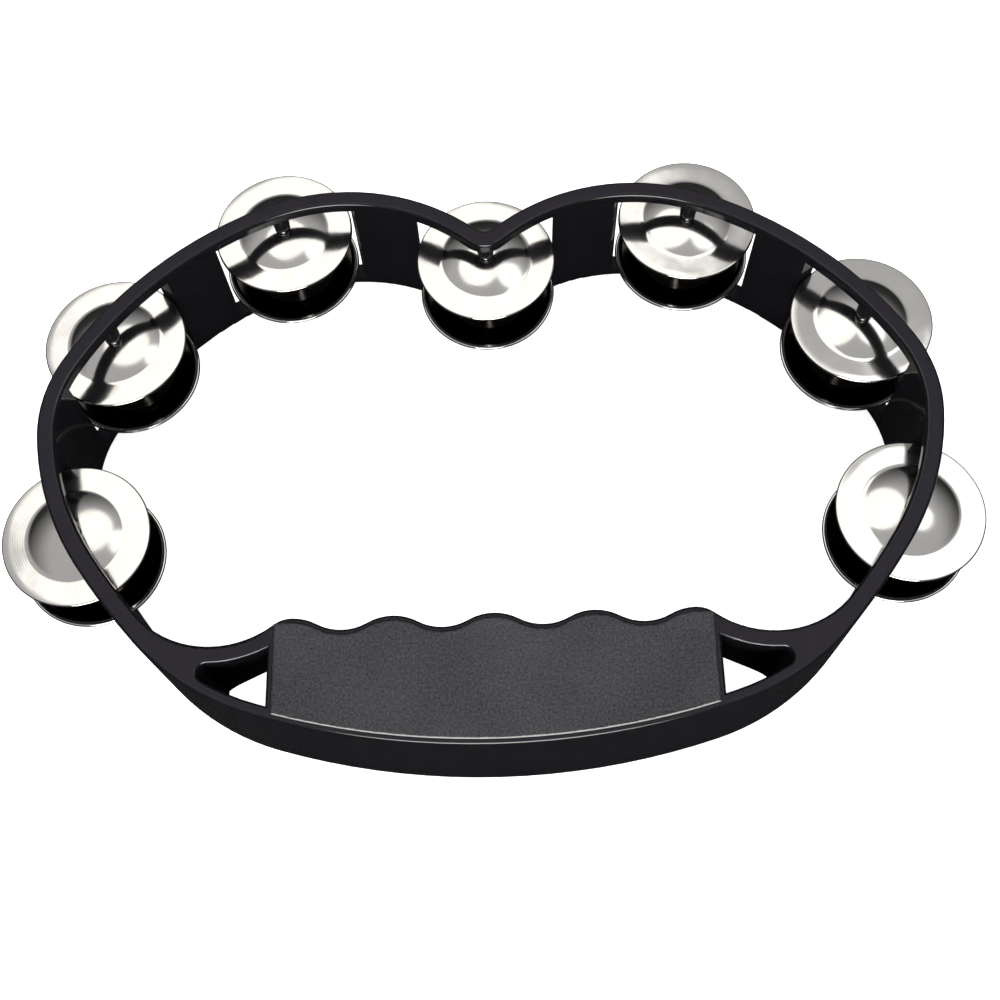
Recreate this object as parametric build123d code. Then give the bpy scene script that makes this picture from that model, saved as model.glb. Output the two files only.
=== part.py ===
from build123d import *
import math
import os

# Hand-held headless tambourine: one moulded frame with a grip, two grip pads,
# and seven slots that each hold a pair of domed jingles on a headed pin.
# Millimetres, +Z up, the frame lying flat with its underside on Z = 0.
# X is the width, the grip is at the -Y side and the heart-like notch at the +Y side.

# Frame wall
wall_height = 45.0
wall = 5.2
edge_round = 1.2
notch_round_outside = 4.0
notch_round_inside = 8.0

# Right half of the outer outline, as tangent arcs that turn left from the front
# middle, where the outline runs along +X. Each is (radius, turn in degrees).
# The lobe arc follows them and ends at the notch, on the YZ plane.
outline_arcs = [(215, 17), (72, 31), (215, 7.5), (84, 28.5), (40, 35.5), (116, 37)]
lobe_radius = 62.0
front_to_pin_rows = 75.6        # front face to the line Y = 0 used while drawing

# Grip block, its finger wave, and the curved braces beside it
grip_half = 59.5
crest_y = -40.2
trough_y = -43.7
finger_pitch = 26.7
shoulder_radius = 8.0
brace_radius = 27.2
brace_width = 4.8
brace_arc_index = 2             # the outline arc that the brace runs into
brace_arch_width = 19.0
brace_arch_height = 27.0
rim_beside_grip = 3.4
side_hole_round = 2.4

# Grip pads
pad_border = 1.5
pad_thickness = 2.0
pad_bevel = 0.5
top_pad_proud = 0.4
bottom_pad_sunk = 0.2

# Slots, bosses and pins
slot_headings = [161.0, 127.5, 65.0]    # outline heading at the slots of the right half
notch_pin_y = 76.0
slot_length = 43.0
notch_slot_length = 41.6
slot_depth = 36.0
rail = 3.5
boss_radius = 2.5
boss_length = 9.3
boss_end_round = 1.2
pin_radius = 1.4
pin_clearance = 0.05
pin_roof = 2.6                  # plastic left above the pin's bore
pin_end_gap = 0.4
pin_head_radius = 2.0
pin_head_height = 1.2
head_clearance = 0.12
head_sunk = 0.1

# Jingles
jingle_radius = 21.0
sheet = 0.8
dome_radius = 13.4
dome_height = 3.0
dome_edge_round = 1.6
hole_radius = 1.9
bead_radius = 0.7
rest_gap = 18.0                 # between the two flat rims of a pair


def outline_stations():
    """List the outline's arcs as (centre x, centre y, radius, first heading, last heading).

    The lobe arc is listed with a full quarter turn, and is cut short at the notch.
    """
    stations = []
    x, y, heading = 0.0, -front_to_pin_rows, 0.0
    for radius, turn in outline_arcs + [(lobe_radius, 90)]:
        angle = math.radians(heading)
        cx = x - radius * math.sin(angle)
        cy = y + radius * math.cos(angle)
        stations.append((cx, cy, radius, heading, heading + turn))
        heading += turn
        angle = math.radians(heading)
        x = cx + radius * math.sin(angle)
        y = cy - radius * math.cos(angle)
    return stations


def outline_point(heading, inset):
    """Point where the outline, moved inwards by inset, runs at this heading."""
    for cx, cy, radius, first, last in outline_stations():
        if first <= heading <= last:
            angle = math.radians(heading)
            reach = radius - inset
            return cx + reach * math.sin(angle), cy - reach * math.cos(angle)
    raise ValueError("no arc of the outline has this heading")


def outline_edges(inset, first_heading=0.0):
    """Right half of the outline from first_heading to the notch, moved inwards by inset."""
    edges = []
    stations = outline_stations()
    for cx, cy, radius, first, last in stations[:-1]:
        start = max(first, first_heading)
        if last > start:
            edges.append(CenterArc((cx, cy), radius - inset, start - 90, last - start))
    cx, cy, radius, first, _ = stations[-1]
    last = 180 + math.degrees(math.asin(cx / (radius - inset)))
    edges.append(CenterArc((cx, cy), radius - inset, first - 90, last - first))
    return edges


def mirrored_face(edges):
    """Face bounded by these right-half edges and their mirror images."""
    both = edges + [mirror(edge, about=Plane.YZ) for edge in edges]
    return make_face(both)


def round_notch(face, radius):
    """Round the corner of a face that lies on the YZ plane at its far side."""
    corner = face.vertices().filter_by_position(Axis.X, -0.01, 0.01).sort_by(Axis.Y)[-1]
    return fillet(corner, radius)


def outline_face(inset, radius):
    """Whole area inside the outline, moved inwards by inset, with a rounded notch."""
    return round_notch(mirrored_face(outline_edges(inset)), radius)


def shoulder_centre():
    """Centre of the rounding at the end of the finger wave."""
    return 2 * finger_pitch, crest_y - shoulder_radius


def brace_centre():
    """Centre of the brace's curve, which touches the wall's inside and the shoulder."""
    wx, wy, radius, _, _ = outline_stations()[brace_arc_index]
    sx, sy = shoulder_centre()
    from_wall = radius - wall - brace_radius
    from_shoulder = shoulder_radius + brace_radius
    apart = math.hypot(sx - wx, sy - wy)
    along = (from_wall ** 2 - from_shoulder ** 2 + apart ** 2) / (2 * apart)
    across = math.sqrt(from_wall ** 2 - along ** 2)
    ux, uy = (sx - wx) / apart, (sy - wy) / apart
    return wx + along * ux - across * uy, wy + along * uy + across * ux


def wave_edges(lower):
    """Right half of the finger wave, moved towards the front by lower."""
    half_chord = finger_pitch / 4
    rise = (crest_y - trough_y) / 2
    radius = (half_chord ** 2 + rise ** 2) / (2 * rise)
    spread = math.degrees(math.asin(half_chord / radius))
    edges = []
    for k in range(5):
        x = k * finger_pitch / 2
        if k % 2 == 0:
            centre = (x, crest_y - radius - lower)
            start = 90 if k == 4 else 90 - spread
            size = spread if k in (0, 4) else 2 * spread
        else:
            centre = (x, trough_y + radius - lower)
            start = 270 - spread
            size = 2 * spread
        edges.append(CenterArc(centre, radius, start, size))
    return edges


def main_opening():
    """The large opening: wall inside, brace curves, shoulders and finger wave."""
    wx, wy, _, _, _ = outline_stations()[brace_arc_index]
    bx, by = brace_centre()
    sx, sy = shoulder_centre()
    touch_heading = math.degrees(math.atan2(bx - wx, wy - by))
    leave = math.degrees(math.atan2(sy - by, sx - bx)) % 360
    brace = CenterArc((bx, by), brace_radius, leave, touch_heading + 270 - leave)
    shoulder = CenterArc((sx, sy), shoulder_radius, leave - 180, 90 - (leave - 180))
    edges = outline_edges(wall, touch_heading) + [brace, shoulder] + wave_edges(0)
    return round_notch(mirrored_face(edges), notch_round_inside)


def side_hole():
    """The right-hand hole between the rim, the brace and the grip block."""
    bx, by = brace_centre()
    inside = outline_face(rim_beside_grip, notch_round_inside)
    height = front_to_pin_rows + by
    width = wall_height
    window = Pos(grip_half + width / 2, by - height / 2) * Rectangle(width, height)
    hole = inside & window
    hole = hole - Pos(bx, by) * Circle(brace_radius + brace_width)
    hole = hole.faces().sort_by(SortBy.AREA)[-1]
    tip = hole.vertices().sort_by(Axis.X)[-1]
    return fillet(tip, side_hole_round)


def brace_arch():
    """Quarter-elliptic arch that lifts the underside of the right-hand brace."""
    bx, by = brace_centre()
    band = Circle(brace_radius + brace_width + 1) - Circle(brace_radius - 1)
    band = Pos(bx, by) * band
    reach = brace_arch_width
    window = Pos(grip_half + reach / 2, by - brace_radius) * Rectangle(reach, brace_radius)
    band = extrude(band & window, wall_height)
    arch = Plane.XZ * Pos(grip_half, 0) * Ellipse(brace_arch_width, brace_arch_height)
    arch = extrude(arch, wall_height * 2, both=True)
    return band & arch


def both_sides(shape):
    """A shape of the right side together with its mirror image."""
    return [shape, mirror(shape, about=Plane.YZ)]


def pin_places():
    """Pin positions and wall headings, from the left-hand grip end round to the right."""
    right = []
    for heading in slot_headings:
        x, y = outline_point(heading, wall / 2)
        right.append((x, y, heading))
    left = [(-x, y, -heading) for x, y, heading in reversed(right)]
    return left + [(0.0, notch_pin_y, 0.0)] + right


def pad_face():
    """Outline of a grip pad: the grip's plan moved in by the border."""
    x = grip_half - pad_border
    front = outline_face(pad_border, notch_round_inside)
    band = Pos(0, crest_y - 30) * Rectangle(2 * x, 60)
    top = wave_edges(pad_border)
    end = top[-1] @ 0
    lid = [Line(end, (x, end.Y)), Line((x, end.Y), (x, 0)), Line((x, 0), (0, 0))]
    start = top[0] @ 1
    if abs(start.X) > 0.01:
        start = top[0] @ 0
    lid.append(Line((0, 0), start))
    above = make_face(top + lid)
    return (front & band) - both_sides(above)


def grip_pad(z):
    """A grip pad of full thickness with its underside at this height."""
    return Pos(0, 0, z) * extrude(pad_face(), pad_thickness)


def frame():
    """The whole moulding, with its slots, bosses, pin bores and pad recesses."""
    plan = outline_face(0, notch_round_outside) - main_opening() - both_sides(side_hole())
    body = extrude(plan, wall_height)
    rims = body.faces().sort_by(Axis.Z)
    body = fillet(rims[0].edges() + rims[-1].edges(), edge_round)
    body = body - both_sides(brace_arch())
    boss = Cylinder(boss_radius, boss_length - rail / 2)
    boss = fillet(boss.edges().filter_by(GeomType.CIRCLE).sort_by(Axis.Z)[0], boss_end_round)
    top_centre = wall_height - rail / 2 - (boss_length - rail / 2) / 2
    top_boss = Pos(0, 0, top_centre) * boss
    bottom_boss = mirror(top_boss, about=Plane.XY.offset(wall_height / 2))
    bore_height = wall_height - pin_roof
    bore = Pos(0, 0, bore_height / 2) * Cylinder(pin_radius + pin_clearance, bore_height)
    recess_height = pin_head_height + head_sunk
    recess = Cylinder(pin_head_radius + head_clearance, recess_height)
    recess = Pos(0, 0, recess_height / 2) * recess
    for x, y, heading in pin_places():
        length = slot_length if heading else notch_slot_length
        slot = Pos(0, 0, wall_height / 2) * Box(length, slot_depth, wall_height - 2 * rail)
        body = body - Pos(x, y) * Rot(0, 0, heading) * slot
    for x, y, _ in pin_places():
        body = body + Pos(x, y) * top_boss + Pos(x, y) * bottom_boss
    for x, y, _ in pin_places():
        body = body - Pos(x, y) * bore - Pos(x, y) * recess
    top_recess = grip_pad(wall_height - pad_thickness + top_pad_proud)
    bottom_recess = extrude(pad_face(), pad_thickness + bottom_pad_sunk)
    return body - top_recess - bottom_recess


def jingle_pin():
    """Headed pin, standing on its head, with its axis on Z."""
    length = wall_height - pin_roof - pin_end_gap - head_sunk
    shank = Pos(0, 0, length / 2) * Cylinder(pin_radius, length)
    head = Pos(0, 0, pin_head_height / 2) * Cylinder(pin_head_radius, pin_head_height)
    head = fillet(head.edges().sort_by(Axis.Z)[0], 0.4)
    return Pos(0, 0, head_sunk) * (shank + head)


def upper_jingle():
    """Pressed disc domed upwards; Z = 0 is the underside of the flat rim."""
    sphere = (dome_radius ** 2 + dome_height ** 2) / (2 * dome_height)
    centre_z = dome_height - sphere
    outer = sphere + sheet
    top_dome_radius = math.sqrt(outer ** 2 - (sheet - centre_z) ** 2)
    bead_x = jingle_radius - bead_radius

    def dome_point(radius, at):
        return at, centre_z + math.sqrt(radius ** 2 - at ** 2)

    low = [
        dome_point(sphere, hole_radius),
        dome_point(sphere, dome_radius * 0.6),
        (dome_radius, 0),
    ]
    high = [
        (top_dome_radius, sheet),
        dome_point(outer, top_dome_radius * 0.6),
        dome_point(outer, hole_radius),
    ]
    profile = make_face([
        ThreePointArc(*low),
        Line(low[-1], (bead_x, 0)),
        Line((bead_x, 0), (bead_x, sheet)),
        Line((bead_x, sheet), high[0]),
        ThreePointArc(*high),
        Line(high[-1], low[0]),
    ])
    near_edge = (dome_radius - 1.5, dome_radius + 1.5)
    corners = profile.vertices().filter_by_position(Axis.X, *near_edge)
    profile = fillet(corners, dome_edge_round)
    bead = Pos(bead_x, sheet / 2) * Circle(bead_radius)
    section = Plane.XZ * (profile + bead)
    return revolve(section, Axis.Z)


def jingle_pair():
    """Upper and lower jingle as they stand on the pin, hollow sides facing each other."""
    lift = wall_height / 2 + rest_gap / 2
    upper = Pos(0, 0, lift) * upper_jingle()
    lower = mirror(upper, about=Plane.XY.offset(wall_height / 2))
    return upper, lower


def centre_shift():
    """Distance in Y that brings the middle of the whole instrument to Y = 0."""
    rear = max(y for _, y, _ in pin_places()) + jingle_radius
    return -(rear - front_to_pin_rows) / 2


def save(shape, name):
    """Write one sub-part at its place in the row's own frame."""
    export_step(Pos(0, centre_shift(), 0) * shape, os.path.join("parts", name + ".step"))


os.makedirs("parts", exist_ok=True)
save(frame(), "frame")
top_pad = grip_pad(wall_height - pad_thickness + top_pad_proud)
top_edges = top_pad.faces().sort_by(Axis.Z)[-1].edges()
save(chamfer(top_edges, pad_bevel), "grip_pad_top")
save(grip_pad(bottom_pad_sunk), "grip_pad_bottom")
upper, lower = jingle_pair()
for number, (x, y, _) in enumerate(pin_places(), start=1):
    save(Pos(x, y) * jingle_pin(), "jingle_pin_" + str(number))
    save(Pos(x, y) * upper, "upper_jingle_" + str(number))
    save(Pos(x, y) * lower, "lower_jingle_" + str(number))
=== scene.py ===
import bpy
import math
import numpy as np
from mathutils import Matrix, Vector


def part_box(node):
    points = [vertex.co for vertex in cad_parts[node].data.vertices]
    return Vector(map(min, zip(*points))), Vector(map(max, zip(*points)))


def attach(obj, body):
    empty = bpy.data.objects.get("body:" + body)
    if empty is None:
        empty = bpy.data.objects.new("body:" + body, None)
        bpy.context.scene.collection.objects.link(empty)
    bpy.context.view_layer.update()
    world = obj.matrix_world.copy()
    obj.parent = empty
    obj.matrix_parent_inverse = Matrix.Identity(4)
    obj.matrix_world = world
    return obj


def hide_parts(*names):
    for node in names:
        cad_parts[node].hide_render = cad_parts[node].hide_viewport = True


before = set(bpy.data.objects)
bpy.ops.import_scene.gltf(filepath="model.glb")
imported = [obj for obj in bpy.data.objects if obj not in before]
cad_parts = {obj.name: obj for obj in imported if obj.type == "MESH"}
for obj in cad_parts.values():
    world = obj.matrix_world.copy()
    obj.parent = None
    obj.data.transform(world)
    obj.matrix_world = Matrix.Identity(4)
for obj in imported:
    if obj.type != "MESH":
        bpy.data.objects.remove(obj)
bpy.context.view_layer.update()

MM = 0.001
SLOTS = range(1, 8)

# Camera: it looks at a point inside the ring from above the grip.
CAMERA_AIM = Vector((0.0023, -0.0160, 0.0225))
CAMERA_DISTANCE = 0.3956
CAMERA_ELEVATION = 67.82
CAMERA_AZIMUTH = 1.61
CAMERA_ROLL = 3.23
CAMERA_LENS = 49.07

# Jingles: a shallow dome inside a flat rim whose edge is rolled
DOME_RADIUS = 13.4 * MM
DOME_HEIGHT = 3.0 * MM
DOME_BLEND = 1.1 * MM
SHEET = 0.8 * MM
ROLL_RADIUS = 0.55 * MM     # flush with the top of the flat rim
HOLE_RADIUS = 1.9 * MM
LATHE_STEPS = 180
RIM_WARPS = [(2, 0.10 * MM), (3, 0.05 * MM), (7, 0.03 * MM)]    # waves round the rim, height

# Surroundings: (sine of the elevation, brightness there), dim around the sides
SKY_TONES = [(0.0, 0.02), (0.35, 0.03), (0.55, 0.22), (0.75, 0.50)]

# Floor: half its width, and the gap that keeps it clear of the frame's underside
FLOOR_HALF = 3.0
FLOOR_GAP = 0.2 * MM

# Leather grain on the grip pads
PAD_CELL = 0.30 * MM
PEBBLE = 0.95 * MM
GRAIN_DEPTH = 0.13 * MM


# ---------------------------------------------------------------- node helpers

def new_material(name):
    """An empty material and its Principled shader."""
    material = bpy.data.materials.new(name)
    material.use_nodes = True
    shader = material.node_tree.nodes["Principled BSDF"]
    return material, shader


def add(material, kind, **values):
    """A node of this kind, with attributes or input sockets set by name."""
    node = material.node_tree.nodes.new(kind)
    for key, value in values.items():
        if hasattr(node, key):
            setattr(node, key, value)
        else:
            node.inputs[key.replace("_", " ")].default_value = value
    return node


def join(material, source, target):
    material.node_tree.links.new(source, target)


def noise(material, vector, scale, detail=2.0, roughness=0.5):
    node = add(material, "ShaderNodeTexNoise", Scale=scale, Detail=detail, Roughness=roughness)
    join(material, vector, node.inputs["Vector"])
    return node.outputs["Fac"]


def remap(material, value, low, high, to_low, to_high, smooth=False):
    node = add(material, "ShaderNodeMapRange")
    node.interpolation_type = "SMOOTHSTEP" if smooth else "LINEAR"
    node.inputs["From Min"].default_value = low
    node.inputs["From Max"].default_value = high
    node.inputs["To Min"].default_value = to_low
    node.inputs["To Max"].default_value = to_high
    join(material, value, node.inputs["Value"])
    return node.outputs["Result"]


def mix_colour(material, factor, first, second):
    node = add(material, "ShaderNodeMix")
    node.data_type = "RGBA"
    join(material, factor, node.inputs[0])
    node.inputs[6].default_value = (*first, 1)
    node.inputs[7].default_value = (*second, 1)
    return node.outputs[2]


def math_node(material, operation, first, second=None):
    node = add(material, "ShaderNodeMath", operation=operation)
    for index, value in enumerate((first, second)):
        if value is None:
            continue
        if isinstance(value, (int, float)):
            node.inputs[index].default_value = value
        else:
            join(material, value, node.inputs[index])
    return node.outputs[0]


def bump(material, height, strength, distance, normal=None):
    node = add(material, "ShaderNodeBump", Strength=strength, Distance=distance)
    join(material, height, node.inputs["Height"])
    if normal is not None:
        join(material, normal, node.inputs["Normal"])
    return node.outputs["Normal"]


# ---------------------------------------------------------------- materials

def frame_plastic():
    """Black moulded plastic: satin on its flat faces, glossy on rounded edges, dark walls. Its
    colour is painted lighter on the flat faces as a painted sheen and darker on the walls as
    painted shade.
    """
    material, shader = new_material("frame_plastic")
    place = add(material, "ShaderNodeTexCoord")
    split = add(material, "ShaderNodeSeparateXYZ")
    join(material, place.outputs["Normal"], split.inputs[0])
    upright = math_node(material, "ABSOLUTE", split.outputs["Z"])
    flat = remap(material, upright, 0.90, 0.985, 0.0, 1.0, smooth=True)
    leaning = remap(material, upright, 0.03, 0.15, 0.0, 1.0, smooth=True)
    spots = noise(material, place.outputs["Object"], 260.0, 3.0)
    # painted light: flat faces get a lighter colour than the walls, a painted sheen on the tops
    # and painted shade on the walls
    colour = mix_colour(material, flat, (0.0040, 0.0037, 0.0045), (0.0150, 0.0136, 0.0176))
    join(material, colour, shader.inputs["Base Color"])
    gloss = remap(material, spots, 0.3, 0.7, 0.11, 0.17)
    satin = remap(material, spots, 0.3, 0.7, 0.40, 0.50)
    mixed = add(material, "ShaderNodeMix")
    join(material, flat, mixed.inputs[0])
    join(material, gloss, mixed.inputs[2])
    join(material, satin, mixed.inputs[3])
    join(material, mixed.outputs[0], shader.inputs["Roughness"])
    edge = math_node(material, "SUBTRACT", leaning, flat)
    polish = remap(material, edge, 0.0, 1.0, 0.02, 1.0)
    join(material, polish, shader.inputs["Coat Weight"])
    shader.inputs["Coat Roughness"].default_value = 0.16
    grain = noise(material, place.outputs["Object"], 2400.0, 2.0)
    grain = math_node(material, "MULTIPLY", grain, flat)
    fine = bump(material, grain, 0.25, 0.00005)
    sink = noise(material, place.outputs["Object"], 42.0, 1.0)
    join(material, bump(material, sink, 0.35, 0.0006, fine), shader.inputs["Normal"])
    shader.inputs["Specular IOR Level"].default_value = 0.03
    return material


def grip_rubber():
    """Dark grey rubber. Its colour carries painted shade in the creases of its grain, darker
    where the grain bump is low, with random paler patches, and a painted highlight along its
    front edge.
    """
    material, shader = new_material("grip_rubber")
    place = add(material, "ShaderNodeTexCoord")
    patches = noise(material, place.outputs["Object"], 35.0, 3.0)
    fine = noise(material, place.outputs["Object"], 1500.0, 3.0, 0.6)
    # painted shade: darker where the fine bump is low, in the grain's creases; the large patches
    # are random tone
    crease_shade_and_patches = math_node(material, "ADD", fine, math_node(material, "MULTIPLY", patches, 0.35))
    crease_shade_and_patches = remap(material, crease_shade_and_patches, 0.48, 0.88, 0.0, 1.0)
    grey = mix_colour(material, crease_shade_and_patches, (0.011, 0.0105, 0.0125), (0.046, 0.044, 0.049))
    facing = add(material, "ShaderNodeSeparateXYZ")
    join(material, place.outputs["Normal"], facing.inputs[0])
    # painted highlight: the front-facing bevel is painted pale, standing in for light caught on
    # it
    front_edge_highlight = remap(material, facing.outputs["Y"], -0.45, -0.66, 0.0, 1.0)
    colour = add(material, "ShaderNodeMix")
    colour.data_type = "RGBA"
    join(material, front_edge_highlight, colour.inputs[0])
    join(material, grey, colour.inputs[6])
    colour.inputs[7].default_value = (0.27, 0.26, 0.25, 1)
    join(material, colour.outputs[2], shader.inputs["Base Color"])
    join(material, remap(material, fine, 0.3, 0.7, 0.60, 0.42), shader.inputs["Roughness"])
    join(material, bump(material, fine, 0.55, 0.00012), shader.inputs["Normal"])
    shader.inputs["Specular IOR Level"].default_value = 0.30
    return material


def jingle_steel(name, hollow_side):
    """Polished nickel plate with faint spinning marks and soft dents.

    The hollow side, which is 1 for up and -1 for down, is painted near black inside the rolled
    edge: a painted dark reflection.
    """
    material, shader = new_material(name)
    place = add(material, "ShaderNodeTexCoord")
    split = add(material, "ShaderNodeSeparateXYZ")
    join(material, place.outputs["Object"], split.inputs[0])
    flat = add(material, "ShaderNodeCombineXYZ")
    join(material, split.outputs["X"], flat.inputs["X"])
    join(material, split.outputs["Y"], flat.inputs["Y"])
    length = add(material, "ShaderNodeVectorMath", operation="LENGTH")
    join(material, flat.outputs[0], length.inputs[0])
    wave = math_node(material, "MULTIPLY", length.outputs["Value"], 9000.0)
    rings = math_node(material, "SINE", wave)
    haze = noise(material, place.outputs["Object"], 120.0, 4.0, 0.6)
    bright = mix_colour(material, haze, (0.80, 0.785, 0.76), (0.66, 0.645, 0.62))
    facing = add(material, "ShaderNodeSeparateXYZ")
    join(material, place.outputs["Normal"], facing.inputs[0])
    inward = math_node(material, "MULTIPLY", facing.outputs["Z"], hollow_side)
    inward = remap(material, inward, 0.1, 0.5, 0.0, 1.0, smooth=True)
    within = remap(material, length.outputs["Value"], 0.0194, 0.0199, 1.0, 0.0, smooth=True)
    # painted reflection: near-black colour on the hollow side, standing in for the dark it
    # mirrors
    painted_dark_hollow = math_node(material, "MULTIPLY", inward, within)
    colour = add(material, "ShaderNodeMix")
    colour.data_type = "RGBA"
    join(material, painted_dark_hollow, colour.inputs[0])
    join(material, bright, colour.inputs[6])
    colour.inputs[7].default_value = (0.045, 0.040, 0.036, 1)
    join(material, colour.outputs[2], shader.inputs["Base Color"])
    shader.inputs["Metallic"].default_value = 1.0
    join(material, remap(material, haze, 0.3, 0.75, 0.09, 0.18), shader.inputs["Roughness"])
    marks = bump(material, rings, 0.03, 0.00002)
    dents = noise(material, place.outputs["Object"], 75.0, 1.5)
    join(material, bump(material, dents, 0.22, 0.0006, marks), shader.inputs["Normal"])
    return material


def pin_steel():
    """Drawn steel wire with marks along its length."""
    material, shader = new_material("pin_steel")
    place = add(material, "ShaderNodeTexCoord")
    stretch = add(material, "ShaderNodeMapping")
    stretch.inputs["Scale"].default_value = (4000.0, 4000.0, 60.0)
    join(material, place.outputs["Object"], stretch.inputs["Vector"])
    lines = noise(material, stretch.outputs["Vector"], 1.0, 2.0)
    colour = mix_colour(material, lines, (0.42, 0.41, 0.40), (0.58, 0.57, 0.55))
    join(material, colour, shader.inputs["Base Color"])
    shader.inputs["Metallic"].default_value = 1.0
    join(material, remap(material, lines, 0.3, 0.7, 0.24, 0.38), shader.inputs["Roughness"])
    join(material, bump(material, lines, 0.12, 0.00002), shader.inputs["Normal"])
    return material


def floor_paint():
    """Plain pale floor, lit from behind like a light table."""
    material, shader = new_material("floor_paint")
    place = add(material, "ShaderNodeTexCoord")
    tone = noise(material, place.outputs["Object"], 3.0, 2.0)
    colour = mix_colour(material, tone, (0.90, 0.90, 0.90), (0.92, 0.92, 0.92))
    join(material, colour, shader.inputs["Base Color"])
    shader.inputs["Roughness"].default_value = 0.9
    shader.inputs["Specular IOR Level"].default_value = 0.1
    shader.inputs["Emission Color"].default_value = (1, 1, 1, 1)
    shader.inputs["Emission Strength"].default_value = 0.80
    return material


# ---------------------------------------------------------------- mesh helpers

def mesh_object(name, points, faces, material, origin=(0, 0, 0), smooth=True):
    """A mesh piece in metres whose points are given about this origin."""
    mesh = bpy.data.meshes.new(name)
    mesh.from_pydata([tuple(p) for p in points], [], [tuple(f) for f in faces])
    mesh.update()
    piece = bpy.data.objects.new(name, mesh)
    piece.location = origin
    bpy.context.scene.collection.objects.link(piece)
    mesh.materials.append(material)
    for polygon in mesh.polygons:
        polygon.use_smooth = smooth
    return piece


def lathe(profile, steps):
    """Points and faces of a closed profile of (radius, height) turned about Z."""
    count = len(profile)
    points = []
    for k in range(steps):
        angle = 2 * math.pi * k / steps
        c, s = math.cos(angle), math.sin(angle)
        points += [(r * c, r * s, z) for r, z in profile]
    faces = []
    for k in range(steps):
        here, there = k * count, (k + 1) % steps * count
        for i in range(count):
            j = (i + 1) % count
            faces.append((here + i, there + i, there + j, here + j))
    return points, faces


# ---------------------------------------------------------------- jingles

def dome_curve():
    """Underside of the dome from the hole's edge out to the flat rim, as (radius, height)."""
    sphere = (DOME_RADIUS ** 2 + DOME_HEIGHT ** 2) / (2 * DOME_HEIGHT)
    centre = DOME_HEIGHT - sphere
    reach = DOME_RADIUS - DOME_BLEND * 0.6
    curve = []
    for k in range(23):
        r = HOLE_RADIUS + (reach - HOLE_RADIUS) * k / 22
        curve.append((r, centre + math.sqrt(sphere ** 2 - r ** 2)))
    first = curve[-1]
    slope = (curve[-1][1] - curve[-2][1]) / (curve[-1][0] - curve[-2][0])
    last = (DOME_RADIUS + DOME_BLEND, 0.0)
    corner_r = first[0] - first[1] / slope
    for k in range(1, 9):
        t = k / 8
        r = (1 - t) ** 2 * first[0] + 2 * t * (1 - t) * corner_r + t ** 2 * last[0]
        z = (1 - t) ** 2 * first[1]
        curve.append((r, z))
    return curve


def jingle_profile(radius):
    """Closed section of a jingle domed upwards; height 0 is the underside of its flat rim."""
    under = dome_curve()
    rim = radius - 2 * ROLL_RADIUS
    under += [(under[-1][0] + (rim - under[-1][0]) * t, 0.0) for t in (0.25, 0.5, 0.75, 1.0)]
    over = []
    for i, (r, z) in enumerate(under):
        before = under[max(i - 1, 0)]
        after = under[min(i + 1, len(under) - 1)]
        run, rise = after[0] - before[0], after[1] - before[1]
        size = math.hypot(run, rise)
        over.append((max(r - rise / size * SHEET, HOLE_RADIUS), z + run / size * SHEET))
    roll = []
    middle_r, middle_z = radius - ROLL_RADIUS, SHEET - ROLL_RADIUS
    start = math.radians(205)
    for k in range(19):
        angle = start + (math.radians(450) - start) * k / 18
        roll.append((middle_r + ROLL_RADIUS * math.cos(angle),
                     middle_z + ROLL_RADIUS * math.sin(angle)))
    lip = [(HOLE_RADIUS - 0.08 * MM, under[0][1] + SHEET / 2)]
    return under[:-1] + roll + over[::-1][1:] + lip


def jingle(number, upper, material):
    """One jingle, lathed to the width of its CAD node, with slight warps in its rim."""
    node = ("upper_jingle_" if upper else "lower_jingle_") + str(number)
    low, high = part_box(node)
    radius = (high.x - low.x) / 2
    below_rim = 2 * ROLL_RADIUS - SHEET
    points, faces = lathe(jingle_profile(radius), LATHE_STEPS)
    points = np.array(points)
    rng = np.random.default_rng(40 + 2 * number + upper)
    phase = rng.uniform(0, 2 * math.pi, 3)
    angle = np.arctan2(points[:, 1], points[:, 0])
    reach = np.hypot(points[:, 0], points[:, 1])
    out = np.clip((reach - DOME_RADIUS) / (radius - DOME_RADIUS), 0, 1)
    warp = np.zeros_like(angle)
    for (waves, height), start in zip(RIM_WARPS, phase):
        warp += height * np.sin(waves * angle + start)
    points[:, 2] += warp * out
    plane = low.z + below_rim
    if not upper:
        points[:, 2] *= -1
        faces = [tuple(reversed(face)) for face in faces]
        plane = high.z - below_rim
    origin = ((low.x + high.x) / 2, (low.y + high.y) / 2, plane)
    name = "jingle_" + str(number) + ("_upper" if upper else "_lower")
    piece = mesh_object(name, points, faces, material, origin)
    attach(piece, ("upper_" if upper else "lower_") + str(number))
    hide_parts(node)


# ---------------------------------------------------------------- grip pads

def pebbles(x, y, rng):
    """Leather grain, from 0 in the creases to 1 on the pebbles, over scattered cells."""
    cell_x = np.floor(x / PEBBLE).astype(int)
    cell_y = np.floor(y / PEBBLE).astype(int)
    span = 200
    jitter = rng.uniform(0.05, 0.95, (2, span, span))
    nearest = np.full(x.shape, 1e9)
    second = np.full(x.shape, 1e9)
    for dx in (-1, 0, 1):
        for dy in (-1, 0, 1):
            i, j = (cell_x + dx) % span, (cell_y + dy) % span
            px = (cell_x + dx + jitter[0][i, j]) * PEBBLE
            py = (cell_y + dy + jitter[1][i, j]) * PEBBLE
            far = np.hypot(x - px, y - py)
            second = np.where(far < nearest, nearest, np.minimum(second, far))
            nearest = np.minimum(nearest, far)
    return np.clip((second - nearest) / (0.5 * PEBBLE), 0, 1) ** 0.5


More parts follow.
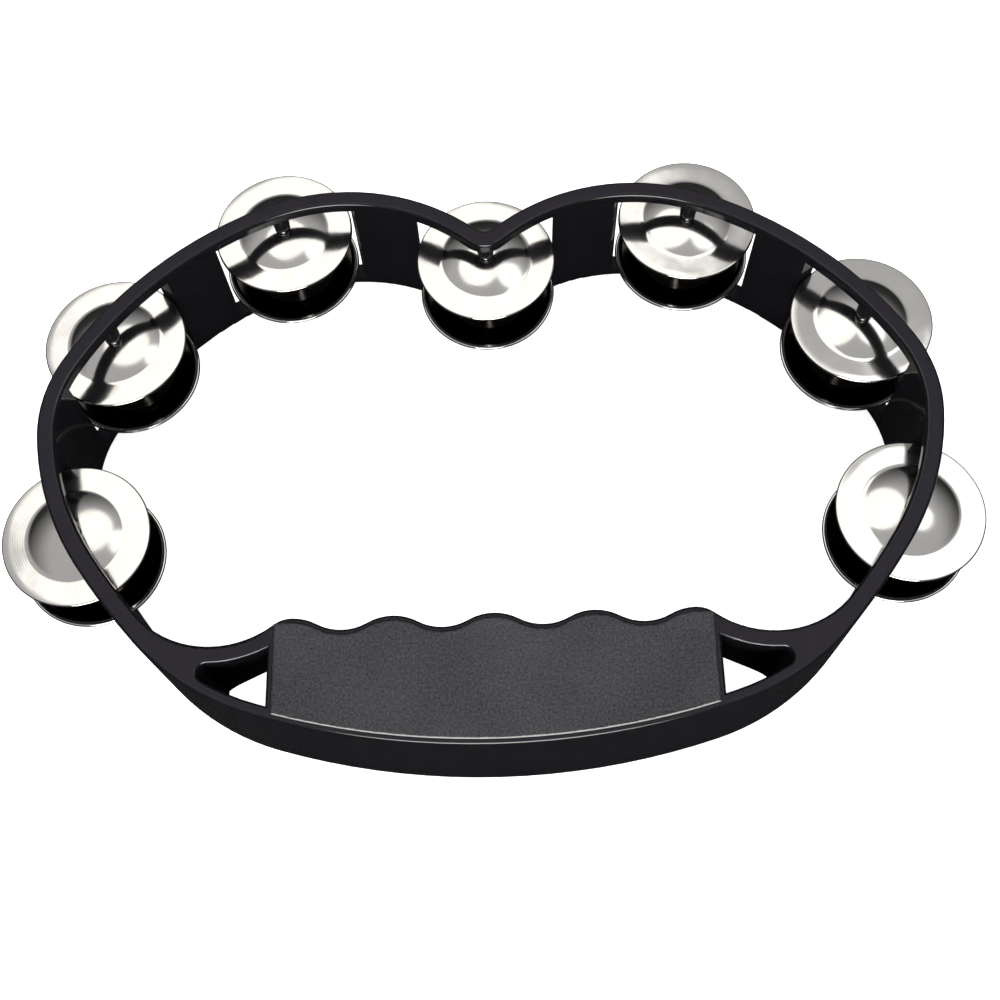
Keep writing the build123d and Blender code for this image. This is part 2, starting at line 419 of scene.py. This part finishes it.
def grained_pad(node, up, seed, material):
    """A pad with fine leather grain pressed into the face that the hand touches."""
    low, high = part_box(node)
    block = bpy.data.objects.new("block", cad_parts[node].data.copy())
    bpy.context.scene.collection.objects.link(block)
    fine = block.modifiers.new("fine", "REMESH")
    fine.mode = "VOXEL"
    fine.voxel_size = PAD_CELL
    graph = bpy.context.evaluated_depsgraph_get()
    mesh = bpy.data.meshes.new_from_object(block.evaluated_get(graph))
    bpy.data.objects.remove(block)
    points = np.empty(len(mesh.vertices) * 3)
    mesh.vertices.foreach_get("co", points)
    points = points.reshape(-1, 3)
    face_z = high.z if up else low.z
    near = np.clip(1 - np.abs(points[:, 2] - face_z) / (0.5 * MM), 0, 1)
    depth = (1 - pebbles(points[:, 0], points[:, 1], np.random.default_rng(seed))) * GRAIN_DEPTH
    points[:, 2] += (-1 if up else 1) * depth * near
    points = np.clip(points, np.array(low), np.array(high))
    mesh.vertices.foreach_set("co", points.ravel())
    mesh.materials.clear()
    mesh.materials.append(material)
    mesh.polygons.foreach_set("use_smooth", [True] * len(mesh.polygons))
    mesh.update()
    piece = bpy.data.objects.new("grip_pad_" + ("upper" if up else "lower"), mesh)
    bpy.context.scene.collection.objects.link(piece)
    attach(piece, "frame")
    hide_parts(node)


# ---------------------------------------------------------------- studio

def camera():
    """Camera above and in front of the grip, slightly turned and rolled."""
    data = bpy.data.cameras.new("camera")
    data.lens = CAMERA_LENS
    data.sensor_width = 36.0
    data.clip_start = 0.01
    eye = bpy.data.objects.new("camera", data)
    bpy.context.scene.collection.objects.link(eye)
    elevation = math.radians(CAMERA_ELEVATION)
    azimuth = math.radians(CAMERA_AZIMUTH)
    forward = Vector((-math.sin(azimuth) * math.cos(elevation),
                      math.cos(azimuth) * math.cos(elevation),
                      -math.sin(elevation)))
    right = Vector((math.cos(azimuth), math.sin(azimuth), 0.0))
    up = right.cross(forward)
    roll = math.radians(CAMERA_ROLL)
    rolled_right = math.cos(roll) * right - math.sin(roll) * up
    rolled_up = math.sin(roll) * right + math.cos(roll) * up
    turn = Matrix((rolled_right, rolled_up, -forward)).transposed()
    eye.matrix_world = Matrix.Translation(CAMERA_AIM - forward * CAMERA_DISTANCE) @ turn.to_4x4()
    bpy.context.scene.camera = eye


def area_light(name, place, aim, size, power, colour=(1, 1, 1)):
    data = bpy.data.lights.new(name, "AREA")
    data.shape = "ELLIPSE"
    data.size, data.size_y = size
    data.energy = power
    data.color = colour
    lamp = bpy.data.objects.new(name, data)
    bpy.context.scene.collection.objects.link(lamp)
    direction = Vector(aim) - Vector(place)
    lamp.rotation_euler = direction.to_track_quat("-Z", "Y").to_euler()
    lamp.location = place


def surroundings():
    """Soft surroundings, brightest overhead and dim around the sides."""
    world = bpy.data.worlds.new("studio")
    bpy.context.scene.world = world
    world.use_nodes = True
    tree = world.node_tree
    place = tree.nodes.new("ShaderNodeTexCoord")
    split = tree.nodes.new("ShaderNodeSeparateXYZ")
    tree.links.new(place.outputs["Generated"], split.inputs[0])
    ramp = tree.nodes.new("ShaderNodeValToRGB")
    tree.links.new(split.outputs["Z"], ramp.inputs["Fac"])
    stops = ramp.color_ramp.elements
    for index, (position, tone) in enumerate(SKY_TONES):
        stop = stops[0] if index == 0 else stops.new(position)
        stop.position = position
        stop.color = (tone, tone, tone, 1)
    stops.remove(stops[-1])     # the ramp's own white end
    tree.links.new(ramp.outputs["Color"], tree.nodes["Background"].inputs["Color"])


def studio():
    """White floor with upright sides, and soft lights. Shiny surfaces don't mirror the floor."""
    surroundings()
    half = FLOOR_HALF
    corners = [(-half, -half, 0), (half, -half, 0), (half, half, 0), (-half, half, 0)]
    top = [(-half, half, half), (half, half, half), (half, -half, half), (-half, -half, half)]
    faces = [(0, 1, 2, 3), (3, 2, 5, 4), (2, 1, 6, 5), (1, 0, 7, 6), (0, 3, 4, 7)]
    floor = mesh_object("floor", corners + top, faces, floor_paint(), (0, 0, -FLOOR_GAP), False)
    floor.visible_glossy = False
    warm = (1.0, 0.975, 0.925)
    area_light("left_softbox", (-0.15, 0.45, 1.0), (-0.15, 0.45, 0), (0.85, 1.0), 2.1, warm)
    area_light("right_softbox", (0.50, 0.20, 1.0), (0.50, 0.20, 0), (0.6, 0.6), 1.0)
    area_light("front_strip", (0.0, -1.0, 0.42), (0, -0.05, 0.04), (0.8, 0.4), 10.0)


def finish_node(node, material):
    """Give a CAD node this material."""
    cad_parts[node].material_slots[0].material = material


rubber = grip_rubber()
upper_nickel = jingle_steel("upper_jingle_steel", -1.0)
lower_nickel = jingle_steel("lower_jingle_steel", 1.0)
steel = pin_steel()


finish_node("frame", frame_plastic())
grained_pad("grip_pad_top", True, 7, rubber)
grained_pad("grip_pad_bottom", False, 8, rubber)
for number in SLOTS:
    finish_node("jingle_pin_" + str(number), steel)
    jingle(number, True, upper_nickel)
    jingle(number, False, lower_nickel)

studio()
camera()
bpy.context.scene.view_settings.view_transform = "Standard"
